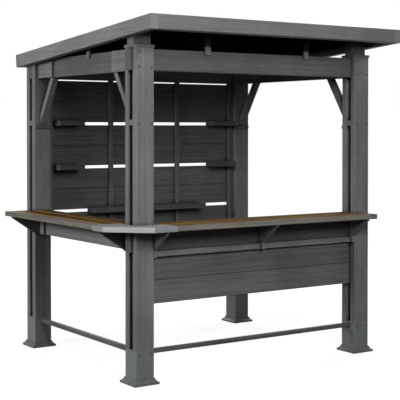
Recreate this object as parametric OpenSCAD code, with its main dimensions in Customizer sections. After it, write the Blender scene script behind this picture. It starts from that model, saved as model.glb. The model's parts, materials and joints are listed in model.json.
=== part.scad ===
// Garden bar gazebo: four built-up posts, a mono-pitch roof, an L-shaped bar
// on the front and left, a shelved rear wall and an open right-hand side.
// Millimetres, +Z up, front towards -Y. The origin is under the middle.

/* [Posts] */
// width of the bay between the outer faces of the near and right posts
bay_w = 1987; // [1500:1:2800]
// depth of the bay between the outer faces of the front and rear posts
bay_d = 1625; // [1200:1:2400]
// width of a post across the front
post_w = 134; // [100:1:180]
// depth of a post from front to rear
post_d = 140; // [130:1:190]
// thickness of the two outer boards of a post
post_board_t = 47; // [38:1:50]
// thickness of the plain boards used all over the frame
board_t = 38; // [28:1:50]
// width of the eased long edges of the timbers
ease = 3; // [1:0.5:5]
// height of the foot under the boards of a post
foot_h = 223; // [120:1:320]
// how far the base trim reaches beyond the post
trim_reach = 26; // [14:1:45]
// height of the upright edge of the base trim
trim_edge_h = 14; // [8:1:24]
// height of the hollowed top of the base trim
trim_slope_h = 26; // [12:1:40]
// radius of the hollow in the top of the base trim
trim_hollow_r = 36; // [32:1:80]
// width of the flat lip of the base trim along the post
trim_lip = 4; // [2:0.5:8]
// clearance of the trim round the post
trim_fit = 0.5; // [0.2:0.1:0.8]
// thickness of the cap plate on a front post
cap_t = 18; // [10:1:25]
// how far the cap plate reaches beyond the post
cap_reach = 5; // [2:1:20]
// how far the front posts stand above the beams
cap_rise = 6; // [2:1:15]
// depth of the blocks between the cap plates and the roof
riser_d = 76; // [50:1:96]

/* [Beams and braces] */
// height of the underside of the beams
beam_z = 2018; // [1900:1:2200]
// height of a beam and of an apron board
beam_h = 140; // [100:1:180]
// thickness of the front and rear beams and of the front apron
beam_t = 64; // [50:1:80]
// how far a front beam or apron end stands out past the post
beam_reach = 20; // [8:1:40]
// length of the blocks at the ends of a side beam
beam_block_len = 227; // [150:1:300]
// length of the blocks at the ends of the left apron
apron_block_len = 88; // [50:1:140]
// thickness of those blocks
beam_block_t = 19; // [12:1:28]
// how far down the post the foot of a brace reaches
brace_drop = 352; // [250:1:420]
// width of a brace across the beam
brace_w = 45; // [30:1:70]
// thickness of a brace
brace_t = 40; // [28:1:50]
// height of the ledge under a brace
brace_seat_h = 24; // [15:1:40]
// how far that ledge stands off the post
brace_seat_reach = 14; // [8:1:30]
// how far the ends of that ledge stand back from the sides of the post
brace_seat_inset = 8; // [0:1:20]

/* [Roof] */
// fall of the roof towards the rear in degrees
roof_fall = 4.4; // [2:0.1:8]
// overhang of the roof in front of the front posts
roof_front_reach = 276; // [120:1:350]
// height of the fascia boards
fascia_h = 95; // [80:1:140]
// thickness of the fascia boards
fascia_t = 57; // [30:1:70]
// depth of the rafters
rafter_h = 40; // [30:1:60]
// thickness of the roof deck
deck_t = 12; // [8:1:25]
// depth of the deck below the top edge of the fascia
deck_drop = 4; // [0:1:12]
// clearance between the posts and the roof
roof_fit = 0.5; // [0.2:0.1:0.8]
// distance of the inner rafters from the middle of the roof
rafter_offset = 422; // [250:1:520]
// width of the struts that carry the roof on the beams
strut_w = 42; // [30:1:70]
// how far a strut laps down over the face of a beam
strut_lap = 26; // [15:1:60]
// thickness of a strut
strut_t = 18; // [12:1:30]

/* [Bar] */
// height of the top of the bar
bar_z = 1027; // [900:1:1150]
// thickness of the boards of the bar
bar_t = 35; // [22:1:50]
// overhang of the bar in front of the posts
bar_front_reach = 170; // [156:1:260]
// overhang of the bar on the left of the posts
bar_left_reach = 200; // [156:1:280]
// width of the boarded strip outside the posts, as far as the border
strip_w = 140; // [90:1:146]
// gap beside the boards of the bar
slat_gap = 8; // [3:1:14]
// width of the boards across the ends of the bar
end_w = 60; // [40:1:90]
// how far the bar stops short of the right-hand face of the right post
bar_right_stop = 70; // [20:1:110]
// how far the bar stops short of the rear face of the rear post
bar_rear_stop = 49; // [20:1:110]
// leg of the clipped corner of the bar
corner_clip = 239; // [120:1:300]
// length of the corner piece from the outer faces of the post, both ways
corner_len = 204; // [190:1:280]
// how far the corner piece stands out past the borders
corner_lip = 8; // [2:1:20]
// clearance of the bar boards round the posts
bar_fit = 0.5; // [0.2:0.1:0.8]
// how far the end of a bracket stands back from the edge of the bar
bracket_setback = 10; // [2:1:40]
// height of the blunt end of a bracket
bracket_nose = 8; // [3:1:30]
// thickness of a bracket
bracket_t = 22; // [14:1:40]
// height of the foot of the slope of a bracket above the underside of the apron
bracket_foot = 6; // [2:1:30]
// distance of the middle bracket from the middle of the bay
bracket_shift = 14; // [-60:1:60]

/* [Front panel and rails] */
// height of the strip below the front apron
ledger_h = 38; // [25:1:60]
// how far that strip stands out past the apron
ledger_reach = 14; // [6:1:24]
// height of the boarded skirt below that strip
skirt_h = 306; // [200:1:420]
// thickness of the skirt and of the wall boards
panel_t = 20; // [14:1:26]
// height of the underside of the foot rails
foot_rail_z = 185; // [100:1:260]
// height of a foot rail
foot_rail_h = 28; // [20:1:40]

/* [Rear wall] */
// height of the gap between the wall boards and the rear beam
wall_top_gap = 13; // [6:1:25]
// height of the slots between the wall boards
wall_slot = 30; // [15:1:36]
// how far the wall reaches in between the boards of the rear posts
wall_lap = 25; // [10:1:40]
// width of the stiles at the ends of the wall
wall_stile_w = 70; // [50:1:100]
// distance of the wall battens from the middle of the wall
batten_offset = 310; // [200:1:420]
// depth of the shelves
shelf_d = 140; // [100:1:200]
// length of a small shelf
small_shelf_len = 210; // [140:1:320]
// length of the middle shelf
centre_shelf_len = 1022; // [800:1:1100]

/* [Hidden] */
// A post is two boards with a web between them. The beams and the front apron are
// thicker than that space, so the boards have housings for them.
recess_d = post_d - 2 * post_board_t;
web_x = (post_w - board_t) / 2;
mid_inset = (post_d - board_t) / 2;
beam_inset = (post_d - beam_t) / 2;
post_x = [0, bay_w - post_w];
post_y = [0, bay_d - post_d];
inner_x0 = post_w;
inner_x1 = bay_w - post_w;
inner_y0 = post_d;
inner_y1 = bay_d - post_d;
beam_top = beam_z + beam_h;
apron_top = bar_z - bar_t;
apron_z = apron_top - beam_h;
rear_beam_y = inner_y1 + beam_inset;

// The side and rear fascias lie against the outer faces of the posts. The rafters
// are notched to a level seat on the rear beam, starting at its front edge.
roof_x0 = -fascia_t - roof_fit;
roof_x1 = bay_w - roof_x0;
roof_y0 = -roof_front_reach;
roof_len = (bay_d + roof_fit - roof_y0) / cos(roof_fall) + fascia_t;
deck_top = fascia_h - deck_drop;
deck_z = deck_top - deck_t;
rafter_z = deck_z - rafter_h;
seat_rise = (rear_beam_y - roof_y0) * tan(roof_fall);
roof_front_z = beam_top + seat_rise - rafter_z / cos(roof_fall);
rear_post_top = beam_top - (bay_d - rear_beam_y) * tan(roof_fall) - roof_fit;
front_post_top = beam_top + cap_rise;
cap_top = front_post_top + cap_t;
rafter_x = [post_w / 2, bay_w / 2 - rafter_offset, bay_w / 2 + rafter_offset, bay_w - post_w / 2];

corner_x0 = -bar_left_reach - corner_lip;
corner_y0 = -bar_front_reach - corner_lip;
bar_end_x = bay_w - bar_right_stop;
bar_end_y = bay_d - bar_rear_stop;
slat_w = strip_w - slat_gap;
bracket_x = [inner_x0, bay_w / 2 + bracket_shift, inner_x1 - bracket_t];
bracket_y = [inner_y0, inner_y1 - bracket_t];
apron_block_x = web_x - beam_block_t;

box_x0 = corner_x0;
box_x1 = roof_x1;
box_y0 = roof_y0;
box_y1 = roof_y0 + roof_len * cos(roof_fall) + (fascia_h - ease) * sin(roof_fall);
mid_x = (box_x0 + box_x1) / 2;
mid_y = (box_y0 + box_y1) / 2;

ledger_z = apron_z - ledger_h;
ledger_y = beam_inset - ledger_reach;
skirt_z = ledger_z - skirt_h;
skirt_y = mid_inset;

wall_y = inner_y1 + post_board_t;
stile_t = recess_d - panel_t;
wall_board_y = wall_y + stile_t;
wall_x0 = post_w - wall_lap;
wall_x1 = bay_w - wall_x0;
first_slot_z = apron_top + board_t / 2 - wall_slot / 2;
wall_pitch = (beam_z - wall_top_gap - first_slot_z) / 3;
wall_band_h = wall_pitch - wall_slot;
slot_z = [for (i = [0 : 2]) first_slot_z + i * wall_pitch];
shelf_z = [for (s = slot_z) s + wall_slot / 2 - board_t / 2];
shelf_y = wall_board_y - shelf_d;
mid_filler_z = shelf_z[2];
mid_filler_top = mid_filler_z + board_t;

big = 6000;

frame_grey = [0.36, 0.37, 0.38];
wall_grey = [0.25, 0.26, 0.27];
trim_grey = [0.42, 0.44, 0.46];
slat_brown = [0.34, 0.24, 0.15];

// Moves everything so that the origin is under the middle of the whole.
module place() {
    translate([-mid_x, -mid_y, 0]) children();
}

// Lays pieces in the tilted roof: y runs down the fall, z is square to it.
module on_roof() {
    translate([0, roof_y0, roof_front_z]) rotate([-roof_fall, 0, 0]) children();
}

// A plain block between two corners.
module block(a, b) {
    translate(a) cube(b - a);
}

// The cross-section of a timber, with its corners eased, less so on a thin one.
module section(w, h) {
    e = min(ease, w / 4, h / 4);
    polygon([
        [e, 0], [w - e, 0], [w, e], [w, h - e],
        [w - e, h], [e, h], [0, h - e], [0, e]
    ]);
}

// Timbers between two corners, lying along x, lying along y and standing.
module timber_x(a, b) {
    s = b - a;
    translate(a) rotate([90, 0, 90]) linear_extrude(height = s[0]) section(s[1], s[2]);
}

module timber_y(a, b) {
    s = b - a;
    translate([a[0], b[1], a[2]]) rotate([90, 0, 0]) {
        linear_extrude(height = s[1]) section(s[0], s[2]);
    }
}

module timber_z(a, b) {
    s = b - a;
    translate(a) linear_extrude(height = s[2]) section(s[0], s[1]);
}

// The spaces taken by a front beam with its underside at z and by the rear beam.
module front_beam_space(z) {
    block([-big, beam_inset, z], [big, beam_inset + beam_t, z + beam_h]);
}

module rear_beam_space() {
    block([-big, rear_beam_y, beam_z], [big, rear_beam_y + beam_t, beam_top]);
}

// The two boards of a post at the corner x, y, up to the height top. The housings
// that are given as children are cut into both.
module post_boards(x, y, top) {
    difference() {
        union() {
            for (dy = [0, post_d - post_board_t]) {
                timber_z([x, y + dy, foot_h], [x + post_w, y + dy + post_board_t, top]);
            }
        }
        children();
    }
}

module front_post(x) {
    post_boards(x, post_y[0], front_post_top) {
        union() {
            front_beam_space(beam_z);
            front_beam_space(apron_z);
        }
    }
}

module rear_post(x) {
    post_boards(x, post_y[1], rear_post_top) rear_beam_space();
}

module front_left_post() {
    color(frame_grey) place() front_post(post_x[0]);
}

module front_right_post() {
    color(frame_grey) place() front_post(post_x[1]);
}

module rear_left_post() {
    color(frame_grey) place() rear_post(post_x[0]);
}

module rear_right_post() {
    color(frame_grey) place() rear_post(post_x[1]);
}

// The web between the boards of the post at x, y, between the heights z0 and z1.
module core_piece(x, y, z0, z1) {
    translate([x + web_x, y + post_board_t, z0]) cube([board_t, recess_d, z1 - z0]);
}

module post_cores() {
    color(frame_grey) place() for (x = post_x) {
        core_piece(x, post_y[0], foot_h, apron_z);
        core_piece(x, post_y[0], apron_top, mid_filler_z);
        core_piece(x, post_y[1], foot_h, mid_filler_z);
        for (y = post_y) {
            core_piece(x, y, mid_filler_top, beam_z);
        }
    }
}

// The closed feet that fill the posts out below the boards.
module post_foot_fillers() {
    color(trim_grey) place() for (x = post_x) {
        for (y = post_y) {
            timber_z([x, y, 0], [x + post_w, y + post_d, foot_h]);
        }
    }
}

// Fillers level with the upper shelves; the rear ones stop at the wall.
module post_mid_fillers() {
    rear_w = post_w - wall_lap;
    color(frame_grey) place() {
        for (x = post_x) {
            translate([x, post_board_t, mid_filler_z]) cube([post_w, recess_d, board_t]);
        }
        for (x = [0, bay_w - rear_w]) {
            translate([x, wall_y, mid_filler_z]) cube([rear_w, recess_d, board_t]);
        }
    }
}

// The hollow along one side of a base trim, in an arc from its upright edge to the
// lip along the post. The face of the post on that side is at the distance half.
module trim_hollow(half) {
    run = trim_reach - trim_lip;
    chord = sqrt(run * run + trim_slope_h * trim_slope_h);
    off = sqrt(trim_hollow_r * trim_hollow_r - chord * chord / 4) / chord;
    x = half + trim_reach - run / 2 + off * trim_slope_h;
    z = trim_edge_h + trim_slope_h / 2 + off * run;
    translate([x, 0, z]) rotate([90, 0, 0]) {
        cylinder(h = big, r = trim_hollow_r, center = true, $fn = 96);
    }
}

// A trim with an upright edge and a hollowed top, round the foot of a post.
module base_trim() {
    far_x = post_w / 2 + trim_reach;
    far_y = post_d / 2 + trim_reach;
    near_x = post_w / 2 + trim_fit;
    near_y = post_d / 2 + trim_fit;
    high = trim_edge_h + trim_slope_h;
    difference() {
        block([-far_x, -far_y, 0], [far_x, far_y, high]);
        block([-near_x, -near_y, -1], [near_x, near_y, high + 1]);
        for (a = [0, 180]) {
            rotate([0, 0, a]) trim_hollow(post_w / 2);
            rotate([0, 0, a + 90]) trim_hollow(post_d / 2);
        }
    }
}

module post_base_trims() {
    color(trim_grey) place() for (x = post_x) {
        for (y = post_y) {
            translate([x + post_w / 2, y + post_d / 2, 0]) base_trim();
        }
    }
}

module front_post_caps() {
    r = cap_reach;
    color(trim_grey) place() for (x = post_x) {
        timber_z([x - r, -r, front_post_top], [x + post_w + r, post_d + r, cap_top]);
    }
}

// Everything above the underside of the rafters.
module roof_space() {
    on_roof() translate([-big / 2, -big / 2, rafter_z]) cube(big);
}

// Blocks that carry the roof on the front posts.
module front_post_risers() {
    color(frame_grey) place() for (x = post_x) {
        difference() {
            timber_z([x, beam_inset, cap_top], [x + post_w, beam_inset + riser_d, cap_top + beam_h]);
            roof_space();
        }
    }
}

// A beam through both front posts, with its underside at z.
module front_timber(z) {
    timber_x([-beam_reach, beam_inset, z], [bay_w + beam_reach, beam_inset + beam_t, z + beam_h]);
}

module front_beam() {
    color(frame_grey) place() front_timber(beam_z);
}

module rear_beam() {
    color(frame_grey) place() {
        timber_x([0, rear_beam_y, beam_z], [bay_w, rear_beam_y + beam_t, beam_top]);
    }
}

// A board between the front and rear post at x, with its underside at z.
module side_timber(x, z, high) {
    timber_y([x + web_x, inner_y0, z], [x + web_x + board_t, inner_y1, z + high]);
}

module left_beam() {
    color(frame_grey) place() side_timber(post_x[0], beam_z, beam_h);
}

module right_beam() {
    color(frame_grey) place() side_timber(post_x[1], beam_z, beam_h);
}

// Two blocks of the given length at the ends of a side timber, from x and z up.
module end_blocks(x, z, len) {
    for (y = [inner_y0, inner_y1 - len]) {
        timber_y([x, y, z], [x + beam_block_t, y + len, z + beam_h]);
    }
}

// Blocks on both faces of the side beams and on the outer face of the left apron.
module beam_end_blocks() {
    color(frame_grey) place() {
        for (x = post_x) {
            end_blocks(x + web_x - beam_block_t, beam_z, beam_block_len);
            end_blocks(x + web_x + board_t, beam_z, beam_block_len);
        }
        end_blocks(apron_block_x, apron_z, apron_block_len);
    }
}

// A brace in the plane of a side, from the post at y = 0 up to the beam.
module brace() {
    run = beam_block_len;
    angle = atan2(brace_drop, run);
    side_step = brace_t / sin(angle);
    rise_step = brace_t / cos(angle);
    rotate([90, 0, 90]) linear_extrude(height = brace_w) {
        polygon([[0, -brace_drop], [run, 0], [run - side_step, 0], [0, rise_step - brace_drop]]);
    }
}

module knee_braces() {
    color(frame_grey) place() for (x = post_x) {
        translate([x + (post_w - brace_w) / 2, 0, beam_z]) {
            translate([0, inner_y0, 0]) brace();
            translate([0, inner_y1, 0]) mirror([0, 1, 0]) brace();
        }
    }
}

// Ledges across the posts, right under the feet of the braces.
module brace_seats() {
    top = beam_z - brace_drop;
    color(frame_grey) place() for (x = post_x) {
        for (y = [inner_y0, inner_y1 - brace_seat_reach]) {
            timber_x(
                [x + brace_seat_inset, y, top - brace_seat_h],
                [x + post_w - brace_seat_inset, y + brace_seat_reach, top]
            );
        }
    }
}

// The rafters, notched where they lie on the rear beam.
module rafters() {
    color(frame_grey) place() difference() {
        on_roof() for (x = rafter_x) {
            timber_y([x - board_t / 2, fascia_t, rafter_z], [x + board_t / 2, roof_len - fascia_t, deck_z]);
        }
        rear_beam_space();
    }
}

module roof_deck() {
    color(wall_grey) place() on_roof() {
        block([roof_x0 + fascia_t, fascia_t, deck_z], [roof_x1 - fascia_t, roof_len - fascia_t, deck_top]);
    }
}

module front_fascia() {
    color(frame_grey) place() on_roof() {
        timber_x([roof_x0 + fascia_t, 0, 0], [roof_x1 - fascia_t, fascia_t, fascia_h]);
    }
}

module rear_fascia() {
    color(frame_grey) place() on_roof() {
        timber_x([roof_x0, roof_len - fascia_t, 0], [roof_x1, roof_len, fascia_h]);
    }
}

// A side fascia with its left face at x; the rear one covers its end.
module side_fascia(x) {
    timber_y([x, 0, 0], [x + fascia_t, roof_len - fascia_t, fascia_h]);
}

module left_fascia() {
    color(frame_grey) place() on_roof() side_fascia(roof_x0);
}

module right_fascia() {
    color(frame_grey) place() on_roof() side_fascia(roof_x1 - fascia_t);
}

// Short uprights on the faces of the beams, cut to the fall of the rafters.
module roof_struts() {
    z0 = beam_top - strut_lap;
    z1 = z0 + beam_h;
    color(frame_grey) place() difference() {
        union() {
            for (x = [rafter_x[1], rafter_x[2]]) {
                timber_z([x - strut_w / 2, beam_inset - strut_t, z0], [x + strut_w / 2, beam_inset, z1]);
            }
            for (x = [web_x - strut_t, bay_w - web_x]) {
                timber_z([x, mid_y - strut_w / 2, z0], [x + strut_t, mid_y + strut_w / 2, z1]);
            }
        }
        roof_space();
    }
}

// The corner of the bar, clipped outside and fitted round the post inside.
module bar_corner() {
    color(trim_grey) place() translate([0, 0, apron_top]) linear_extrude(height = bar_t) {
        polygon([
            [corner_x0, corner_len],
            [corner_x0, corner_y0 + corner_clip],
            [corner_x0 + corner_clip, corner_y0],
            [corner_len, corner_y0],
            [corner_len, -bar_fit],
            [-bar_fit, -bar_fit],
            [-bar_fit, corner_len]
        ]);
    }
}

module front_bar_border() {
    color(trim_grey) place() {
        timber_x([corner_len, -bar_front_reach, apron_top], [bar_end_x - end_w, -strip_w, bar_z]);
    }
}

module left_bar_border() {
    color(trim_grey) place() {
        timber_y([-bar_left_reach, corner_len, apron_top], [-strip_w, bar_end_y - end_w, bar_z]);
    }
}

module bar_end_boards() {
    color(trim_grey) place() {
        timber_y([bar_end_x - end_w, -bar_front_reach, apron_top], [bar_end_x, -bar_fit, bar_z]);
        timber_x([-bar_left_reach, bar_end_y - end_w, apron_top], [-bar_fit, bar_end_y, bar_z]);
    }
}

module front_bar_slats() {
    y0 = slat_gap / 2 - strip_w;
    color(slat_brown) place() {
        timber_x([corner_len, y0, apron_top], [bar_end_x - end_w, y0 + slat_w, bar_z]);
        timber_x([inner_x0, slat_gap / 2, apron_top], [inner_x1, post_d, bar_z]);
    }
}

module left_bar_slats() {
    x0 = slat_gap / 2 - strip_w;
    color(slat_brown) place() {
        timber_y([x0, corner_len, apron_top], [x0 + slat_w, bar_end_y - end_w, bar_z]);
        timber_y([slat_gap / 2, inner_y0, apron_top], [post_w, inner_y1, bar_z]);
    }
}

// A three-cornered bracket from the face at depth back out under a bar that
// overhangs by reach.
module bracket(back, reach) {
    tip = bracket_setback - reach;
    linear_extrude(height = bracket_t) {
        polygon([
            [back, apron_z],
            [back, apron_top],
            [tip, apron_top],
            [tip, apron_top - bracket_nose],
            [0, apron_z + bracket_foot],
            [0, apron_z]
        ]);
    }
}

// The front brackets have a heel that stands in front of the ledger.
module front_bar_brackets() {
    color(frame_grey) place() for (x = bracket_x) {
        union() {
            translate([x, 0, 0]) rotate([90, 0, 90]) bracket(beam_inset, bar_front_reach);
            block([x, 0, ledger_z], [x + bracket_t, ledger_y, apron_z]);
        }
    }
}

module left_bar_brackets() {
    color(frame_grey) place() for (y = bracket_y) {
        translate([0, y + bracket_t, 0]) rotate([90, 0, 0]) bracket(apron_block_x, bar_left_reach);
    }
}

module front_apron() {
    color(frame_grey) place() front_timber(apron_z);
}

module left_apron() {
    color(frame_grey) place() side_timber(post_x[0], apron_z, beam_h);
}

module front_ledger() {
    color(frame_grey) place() {
        timber_x([inner_x0, ledger_y, ledger_z], [inner_x1, beam_inset + beam_t, apron_z]);
    }
}

module front_skirt() {
    color(frame_grey) place() {
        block([inner_x0, skirt_y, skirt_z], [inner_x1, skirt_y + panel_t, ledger_z]);
    }
}

module skirt_stiles() {
    y0 = skirt_y + panel_t;
    color(frame_grey) place() for (x = [inner_x0, inner_x1 - board_t]) {
        timber_z([x, y0, skirt_z], [x + board_t, y0 + board_t, ledger_z]);
    }
}

module front_foot_rail() {
    y1 = mid_inset + board_t;
    color(frame_grey) place() {
        timber_x([inner_x0, mid_inset, foot_rail_z], [inner_x1, y1, foot_rail_z + foot_rail_h]);
    }
}

module left_foot_rail() {
    color(frame_grey) place() side_timber(post_x[0], foot_rail_z, foot_rail_h);
}

module rear_wall_boards() {
    color(wall_grey) place() {
        block([wall_x0, wall_board_y, apron_z], [wall_x1, wall_board_y + panel_t, slot_z[0]]);
        for (s = slot_z) {
            translate([wall_x0, wall_board_y, s + wall_slot]) {
                cube([wall_x1 - wall_x0, panel_t, wall_band_h]);
            }
        }
    }
}

module wall_stiles() {
    color(wall_grey) place() for (x = [wall_x0, wall_x1 - wall_stile_w]) {
        timber_z([x, wall_y, apron_z], [x + wall_stile_w, wall_board_y, beam_z]);
    }
}

// Each batten is in two lengths, above and below the middle shelf.
module wall_battens() {
    color(wall_grey) place() for (side = [-1, 1]) {
        x = bay_w / 2 + side * batten_offset - board_t / 2;
        timber_z([x, wall_y, apron_z], [x + board_t, wall_board_y, shelf_z[0]]);
        timber_z([x, wall_y, shelf_z[0] + board_t], [x + board_t, wall_board_y, beam_z]);
    }
}

// A shelf of the given length with its left end at x, in front of slot i.
module shelf(x, len, i) {
    timber_x([x, shelf_y, shelf_z[i]], [x + len, wall_board_y, shelf_z[i] + board_t]);
}

// The two small shelves with their left ends at x.
module small_shelves(x) {
    for (i = [1, 2]) {
        shelf(x, small_shelf_len, i);
    }
}

module left_shelves() {
    color(wall_grey) place() small_shelves(wall_x0 + wall_stile_w);
}

module right_shelves() {
    color(wall_grey) place() small_shelves(wall_x1 - wall_stile_w - small_shelf_len);
}

module centre_shelf() {
    color(wall_grey) place() shelf(bay_w / 2 - centre_shelf_len / 2, centre_shelf_len, 0);
}

front_left_post();
front_right_post();
rear_left_post();
rear_right_post();
post_cores();
post_foot_fillers();
post_mid_fillers();
post_base_trims();
front_post_caps();
front_post_risers();
front_beam();
rear_beam();
left_beam();
right_beam();
beam_end_blocks();
knee_braces();
brace_seats();
rafters();
roof_deck();
front_fascia();
rear_fascia();
left_fascia();
right_fascia();
roof_struts();
bar_corner();
front_bar_border();
left_bar_border();
bar_end_boards();
front_bar_slats();
left_bar_slats();
front_bar_brackets();
left_bar_brackets();
front_apron();
left_apron();
front_ledger();
front_skirt();
skirt_stiles();
front_foot_rail();
left_foot_rail();
rear_wall_boards();
wall_stiles();
wall_battens();
left_shelves();
right_shelves();
centre_shelf();
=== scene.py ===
"""Looks for a garden bar gazebo: stained timber, fixings, studio and camera.

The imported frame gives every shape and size. This script dresses its nodes,
swaps the plain panels for lapped boards, and adds the fixings seen on them.
"""

import json
import logging
import math
from dataclasses import dataclass
from enum import Enum
from functools import reduce

import bmesh
import bpy
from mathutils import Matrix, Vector

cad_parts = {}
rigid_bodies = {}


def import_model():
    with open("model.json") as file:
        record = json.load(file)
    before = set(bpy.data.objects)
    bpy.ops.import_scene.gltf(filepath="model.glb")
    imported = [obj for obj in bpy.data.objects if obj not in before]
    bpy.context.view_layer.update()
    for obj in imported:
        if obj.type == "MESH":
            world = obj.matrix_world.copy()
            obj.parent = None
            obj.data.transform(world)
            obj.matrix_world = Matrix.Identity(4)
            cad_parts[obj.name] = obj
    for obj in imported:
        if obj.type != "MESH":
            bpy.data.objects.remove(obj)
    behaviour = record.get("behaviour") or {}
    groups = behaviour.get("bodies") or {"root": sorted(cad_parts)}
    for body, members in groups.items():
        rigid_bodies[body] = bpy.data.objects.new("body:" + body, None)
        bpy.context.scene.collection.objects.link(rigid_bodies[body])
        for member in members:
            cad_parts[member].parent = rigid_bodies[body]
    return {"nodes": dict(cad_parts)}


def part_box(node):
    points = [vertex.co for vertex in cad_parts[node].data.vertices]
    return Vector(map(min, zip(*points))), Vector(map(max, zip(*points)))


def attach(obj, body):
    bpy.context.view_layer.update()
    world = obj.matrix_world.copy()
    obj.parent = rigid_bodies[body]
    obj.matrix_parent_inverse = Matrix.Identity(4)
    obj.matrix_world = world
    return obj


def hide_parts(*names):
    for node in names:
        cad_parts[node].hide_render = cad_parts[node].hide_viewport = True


Colour = tuple[float, float, float]
Point = tuple[float, float, float]
Mark = tuple[Point, Point]
BoardForm = tuple[Point, float, float, bool, bool]
Material = bpy.types.Material
Piece = bpy.types.Object
Socket = bpy.types.NodeSocket

# A noise: how many clouds to a metre, how many finer layers, and how strong those are.
Noise = tuple[float, float, float]
# A ramp: the lowest and the highest value that go in, and what comes out at each.
Ramp = tuple[float, float, float, float]

log = logging.getLogger("bar_gazebo")

ROOF_FALL = math.radians(4.4)
NOISE_RANGE = (0.3, 0.7)
SAME_POINT = 1e-5
SIZE_DIGITS = 5

FORWARD: Point = (0.0, -1.0, 0.0)
BACKWARD: Point = (0.0, 1.0, 0.0)
LEFTWARD: Point = (-1.0, 0.0, 0.0)
UPWARD: Point = (0.0, 0.0, 1.0)
CLIPPED_FACE: Point = (-math.sqrt(0.5), -math.sqrt(0.5), 0.0)


class Grain(Enum):
    """The way the fibres of a board run: along which axis, and with what tilt about x."""

    ACROSS = (0, 0.0)
    BACK = (1, 0.0)
    UP = (2, 0.0)
    FALL = (1, ROOF_FALL)


class Slot(str, Enum):
    """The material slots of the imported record."""

    FRAME = "frame_wood"
    WALL = "wall_wood"
    EDGE = "edge_wood"
    BAR = "bar_wood"
    FOOT = "foot_trim"


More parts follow.
